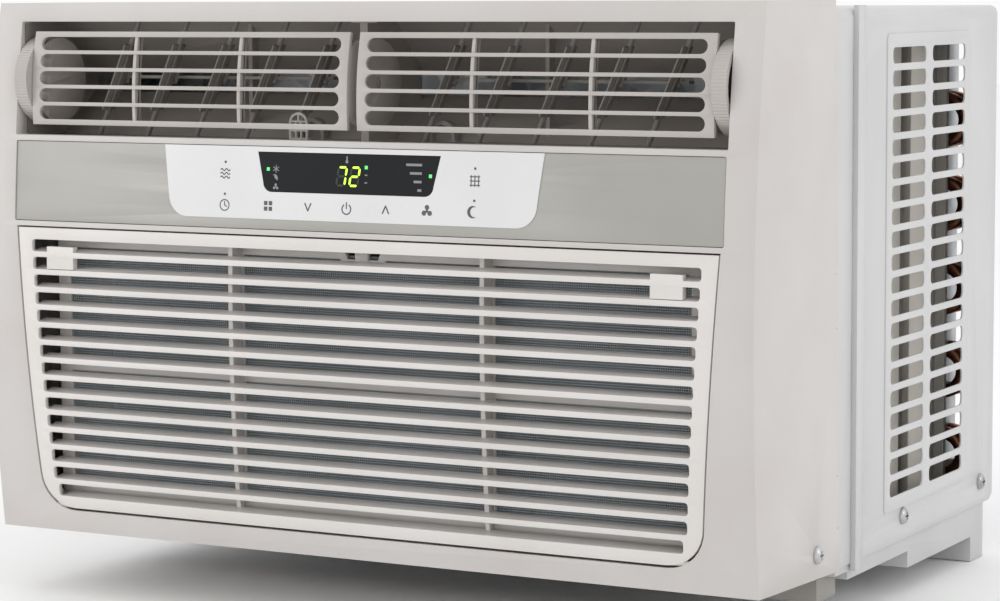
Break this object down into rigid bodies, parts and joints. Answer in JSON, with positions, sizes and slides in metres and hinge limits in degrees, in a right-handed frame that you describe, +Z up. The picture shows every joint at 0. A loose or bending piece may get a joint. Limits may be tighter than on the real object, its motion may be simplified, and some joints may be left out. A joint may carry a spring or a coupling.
{
  "type": "window air conditioner",
  "caption": "Boxy room air conditioner for a window: tilt-out intake grille, twin louvre barrels with thumb wheels, key panel and louvred steel cabinet on a stepped base pan.",
  "frame": {"origin": "centre of the footprint, at the height of the rear feet's underside", "axes": "+Z up, -Y towards the room (front), +X to the right as seen from the front"},
  "size_m": [0.4756, 0.367, 0.335],
  "materials": {
    "bezel_plastic": "moulded ABS, fine satin grain",
    "grille_plastic": "moulded polystyrene, satin",
    "filter_net": "woven polypropylene net",
    "band_paint": "silver-grey painted ABS",
    "overlay_film": "printed polyester film",
    "smoked_lens": "smoked acrylic",
    "circuit_board": "solder mask on glass epoxy",
    "key_plastic": "moulded ABS",
    "louver_plastic": "moulded ABS, satin greige",
    "vane_plastic": "moulded ABS, dark",
    "duct_plastic": "moulded polystyrene, warm grey",
    "cabinet_paint": "white powder coat on steel",
    "pan_plastic": "moulded polypropylene, light grey",
    "sill_steel": "grey powder coat on steel",
    "galvanised_steel": "hot-dip galvanised, spangled",
    "shroud_plastic": "moulded polypropylene",
    "coil_fin": "stamped aluminium fins",
    "copper_tube": "drawn copper, slightly tarnished",
    "motor_steel": "varnished steel shell",
    "compressor_paint": "black enamel on drawn steel",
    "rubber": "moulded EPDM",
    "plated_steel": "zinc-plated steel",
    "capacitor_can": "drawn aluminium can"
  },
  "bodies": {
    "chassis": {"front_bezel": "bezel_plastic", "control_panel": "band_paint", "control_overlay": "overlay_film", "display_window": "smoked_lens", "led_display": "circuit_board", "control_board": "circuit_board", "control_box": "galvanised_steel", "capacitor": "capacitor_can", "air_duct": "duct_plastic", "ionizer_guard": "duct_plastic", "base_pan": "pan_plastic", "cabinet": "cabinet_paint", "side_rails": "cabinet_paint", "front_sill": "sill_steel", "evaporator_fins": "coil_fin", "evaporator_tubes": "copper_tube", "blower_scroll": "shroud_plastic", "fan_motor": "motor_steel", "motor_bracket": "galvanised_steel", "fan_shroud": "shroud_plastic", "bulkhead": "galvanised_steel", "condenser_fins": "coil_fin", "condenser_tubes": "copper_tube", "compressor": "compressor_paint", "compressor_feet": "rubber", "accumulator": "compressor_paint", "refrigerant_pipes": "copper_tube", "screws": "plated_steel", "cord_gland": "rubber"},
    "grille": {"intake_grille": "grille_plastic", "filter_frame": "grille_plastic", "filter_mesh": "filter_net"},
    "barrel_left": {"louver_barrel_left": "louver_plastic", "thumb_wheel_left": "louver_plastic"},
    "barrel_right": {"louver_barrel_right": "louver_plastic", "thumb_wheel_right": "louver_plastic"},
    "rotor": {"motor_shaft": "plated_steel", "blower_wheel": "shroud_plastic", "outdoor_fan": "shroud_plastic"},
    "vane_left_1": {"vane_left_1": "vane_plastic"},
    "vane_left_2": {"vane_left_2": "vane_plastic"},
    "vane_left_3": {"vane_left_3": "vane_plastic"},
    "vane_left_4": {"vane_left_4": "vane_plastic"},
    "vane_left_5": {"vane_left_5": "vane_plastic"},
    "link_left": {"vane_link_left": "vane_plastic"},
    "vane_right_1": {"vane_right_1": "vane_plastic"},
    "vane_right_2": {"vane_right_2": "vane_plastic"},
    "vane_right_3": {"vane_right_3": "vane_plastic"},
    "vane_right_4": {"vane_right_4": "vane_plastic"},
    "vane_right_5": {"vane_right_5": "vane_plastic"},
    "link_right": {"vane_link_right": "vane_plastic"},
    "key_timer_body": {"key_timer": "key_plastic"},
    "key_clean_air_body": {"key_clean_air": "key_plastic"},
    "key_mode_body": {"key_mode": "key_plastic"},
    "key_down_body": {"key_down": "key_plastic"},
    "key_power_body": {"key_power": "key_plastic"},
    "key_up_body": {"key_up": "key_plastic"},
    "key_fan_speed_body": {"key_fan_speed": "key_plastic"},
    "key_filter_reset_body": {"key_filter_reset": "key_plastic"},
    "key_sleep_body": {"key_sleep": "key_plastic"}
  },
  "joints": [
    {"name": "grille_tilt", "type": "hinge", "parent": "chassis", "child": "grille", "pos_m": [0, -0.175, 0.0524], "axis": [1, 0, 0], "range_deg": [0, 30]},
    {"name": "barrel_left_turn", "type": "hinge", "parent": "chassis", "child": "barrel_left", "pos_m": [-0.106, -0.1555, 0.2918], "axis": [1, 0, 0], "range_deg": [-25, 25]},
    {"name": "barrel_right_turn", "type": "hinge", "parent": "chassis", "child": "barrel_right", "pos_m": [0.106, -0.1555, 0.2918], "axis": [1, 0, 0], "range_deg": [-25, 25]},
    {"name": "fan_spin", "type": "hinge", "parent": "chassis", "child": "rotor", "pos_m": [0.045, 0, 0.17], "axis": [0, 1, 0], "continuous": true},
    {"name": "vane_left_1_swing", "type": "hinge", "parent": "chassis", "child": "vane_left_1", "pos_m": [-0.17225, -0.143, 0.2933], "axis": [0.4067, 0, 0.9135], "range_deg": [-25, 25]},
    {"name": "vane_left_2_swing", "type": "hinge", "parent": "chassis", "child": "vane_left_2", "pos_m": [-0.13925, -0.143, 0.2933], "axis": [0.4067, 0, 0.9135], "range_deg": [-25, 25]},
    {"name": "vane_left_3_swing", "type": "hinge", "parent": "chassis", "child": "vane_left_3", "pos_m": [-0.10625, -0.143, 0.2933], "axis": [0.4067, 0, 0.9135], "range_deg": [-25, 25]},
    {"name": "vane_left_4_swing", "type": "hinge", "parent": "chassis", "child": "vane_left_4", "pos_m": [-0.07325, -0.143, 0.2933], "axis": [0.4067, 0, 0.9135], "range_deg": [-25, 25]},
    {"name": "vane_left_5_swing", "type": "hinge", "parent": "chassis", "child": "vane_left_5", "pos_m": [-0.04025, -0.143, 0.2933], "axis": [0.4067, 0, 0.9135], "range_deg": [-25, 25]},
    {"name": "link_left_slide", "type": "slide", "parent": "chassis", "child": "link_left", "axis": [-0.9135, 0, 0.4067], "range_m": [-0.00414, 0.00414]},
    {"name": "vane_right_1_swing", "type": "hinge", "parent": "chassis", "child": "vane_right_1", "pos_m": [0.04025, -0.143, 0.2933], "axis": [0.4067, 0, 0.9135], "range_deg": [-25, 25]},
    {"name": "vane_right_2_swing", "type": "hinge", "parent": "chassis", "child": "vane_right_2", "pos_m": [0.07325, -0.143, 0.2933], "axis": [0.4067, 0, 0.9135], "range_deg": [-25, 25]},
    {"name": "vane_right_3_swing", "type": "hinge", "parent": "chassis", "child": "vane_right_3", "pos_m": [0.10625, -0.143, 0.2933], "axis": [0.4067, 0, 0.9135], "range_deg": [-25, 25]},
    {"name": "vane_right_4_swing", "type": "hinge", "parent": "chassis", "child": "vane_right_4", "pos_m": [0.13925, -0.143, 0.2933], "axis": [0.4067, 0, 0.9135], "range_deg": [-25, 25]},
    {"name": "vane_right_5_swing", "type": "hinge", "parent": "chassis", "child": "vane_right_5", "pos_m": [0.17225, -0.143, 0.2933], "axis": [0.4067, 0, 0.9135], "range_deg": [-25, 25]},
    {"name": "link_right_slide", "type": "slide", "parent": "chassis", "child": "link_right", "axis": [-0.9135, 0, 0.4067], "range_m": [-0.00414, 0.00414]},
    {"name": "key_timer_press", "type": "slide", "parent": "chassis", "child": "key_timer_body", "axis": [0, 1, 0], "range_m": [0, 0.00035], "stiffness_N_per_m": 600},
    {"name": "key_clean_air_press", "type": "slide", "parent": "chassis", "child": "key_clean_air_body", "axis": [0, 1, 0], "range_m": [0, 0.00035], "stiffness_N_per_m": 600},
    {"name": "key_mode_press", "type": "slide", "parent": "chassis", "child": "key_mode_body", "axis": [0, 1, 0], "range_m": [0, 0.00035], "stiffness_N_per_m": 600},
    {"name": "key_down_press", "type": "slide", "parent": "chassis", "child": "key_down_body", "axis": [0, 1, 0], "range_m": [0, 0.00035], "stiffness_N_per_m": 600},
    {"name": "key_power_press", "type": "slide", "parent": "chassis", "child": "key_power_body", "axis": [0, 1, 0], "range_m": [0, 0.00035], "stiffness_N_per_m": 600},
    {"name": "key_up_press", "type": "slide", "parent": "chassis", "child": "key_up_body", "axis": [0, 1, 0], "range_m": [0, 0.00035], "stiffness_N_per_m": 600},
    {"name": "key_fan_speed_press", "type": "slide", "parent": "chassis", "child": "key_fan_speed_body", "axis": [0, 1, 0], "range_m": [0, 0.00035], "stiffness_N_per_m": 600},
    {"name": "key_filter_reset_press", "type": "slide", "parent": "chassis", "child": "key_filter_reset_body", "axis": [0, 1, 0], "range_m": [0, 0.00035], "stiffness_N_per_m": 600},
    {"name": "key_sleep_press", "type": "slide", "parent": "chassis", "child": "key_sleep_body", "axis": [0, 1, 0], "range_m": [0, 0.00035], "stiffness_N_per_m": 600}
  ],
  "couplings": [
    {"joint": "vane_left_1_swing", "follows": "link_left_slide", "rad_per_m": 105.26},
    {"joint": "vane_left_2_swing", "follows": "link_left_slide", "rad_per_m": 105.26},
    {"joint": "vane_left_3_swing", "follows": "link_left_slide", "rad_per_m": 105.26},
    {"joint": "vane_left_4_swing", "follows": "link_left_slide", "rad_per_m": 105.26},
    {"joint": "vane_left_5_swing", "follows": "link_left_slide", "rad_per_m": 105.26},
    {"joint": "vane_right_1_swing", "follows": "link_right_slide", "rad_per_m": 105.26},
    {"joint": "vane_right_2_swing", "follows": "link_right_slide", "rad_per_m": 105.26},
    {"joint": "vane_right_3_swing", "follows": "link_right_slide", "rad_per_m": 105.26},
    {"joint": "vane_right_4_swing", "follows": "link_right_slide", "rad_per_m": 105.26},
    {"joint": "vane_right_5_swing", "follows": "link_right_slide", "rad_per_m": 105.26}
  ]
}
